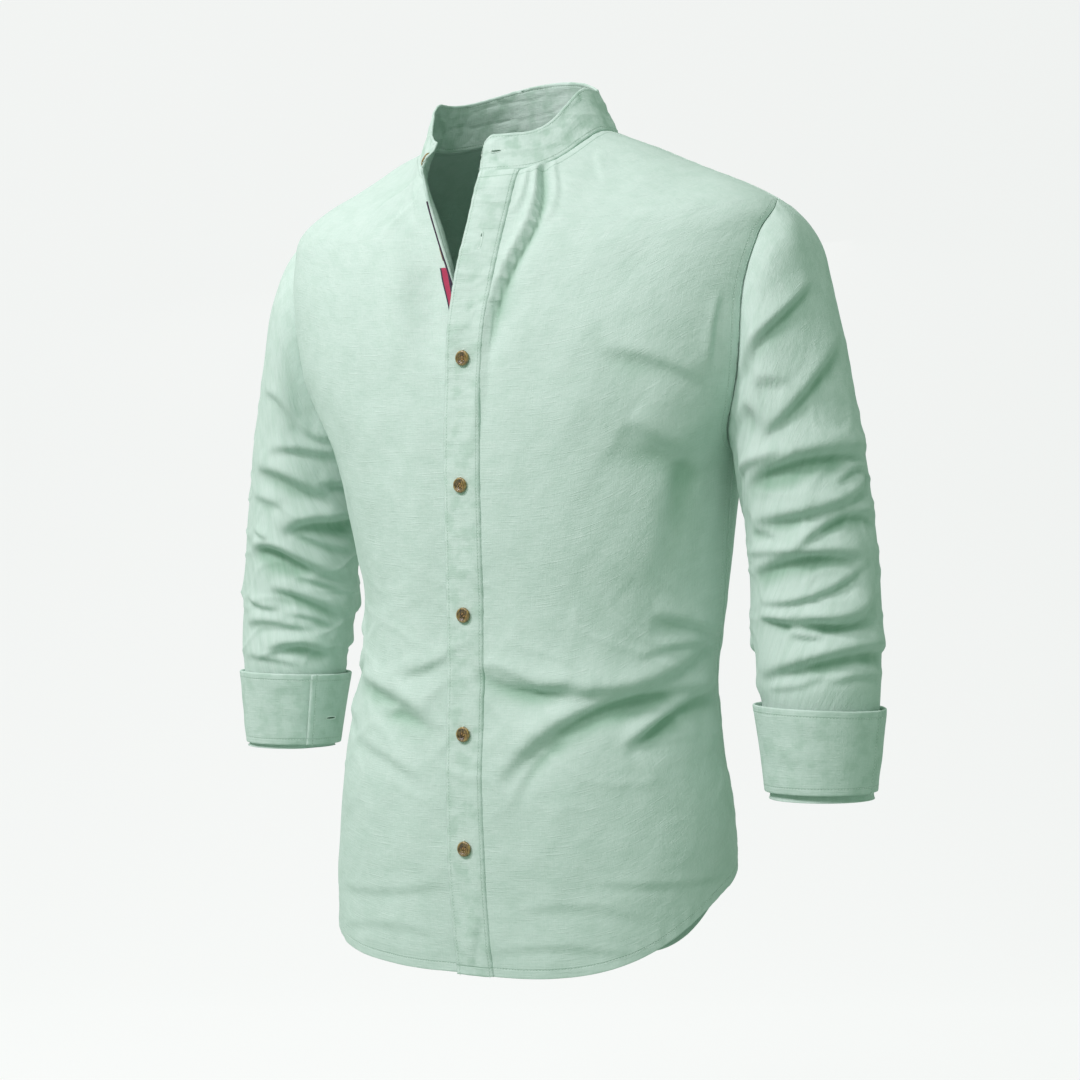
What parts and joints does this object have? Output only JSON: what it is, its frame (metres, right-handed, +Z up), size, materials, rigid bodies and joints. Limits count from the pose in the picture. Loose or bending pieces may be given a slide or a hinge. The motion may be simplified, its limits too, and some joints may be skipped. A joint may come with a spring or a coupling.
{
  "type": "mandarin collar shirt",
  "caption": "Slim long-sleeved shirt with a mandarin collar, button placket, open neck and turned-back cuffs, in its hollow worn form.",
  "frame": {"origin": "level with the two neck points and midway between the shoulders, where the wearer's shoulders hold the shirt", "axes": "+Z up, -Y towards the front of the shirt, +X towards the wearer's left"},
  "size_m": [0.6213, 0.2472, 0.756],
  "materials": {
    "mint_cloth": "matt slub linen weave",
    "tape": "matt woven contrast tape",
    "button": "polished brown horn look"
  },
  "bodies": {
    "root": {"front_left": "mint_cloth", "front_right": "mint_cloth", "back": "mint_cloth", "placket_left": "mint_cloth", "placket_right": "mint_cloth", "sleeve_left": "mint_cloth", "sleeve_right": "mint_cloth", "collar_band": "mint_cloth", "cuff_left": "mint_cloth", "cuff_right": "mint_cloth", "contrast_tape": "tape", "button_1": "button", "button_2": "button", "button_3": "button", "button_4": "button", "button_5": "button", "button_6": "button", "button_7": "button"}
  },
  "joints": []
}
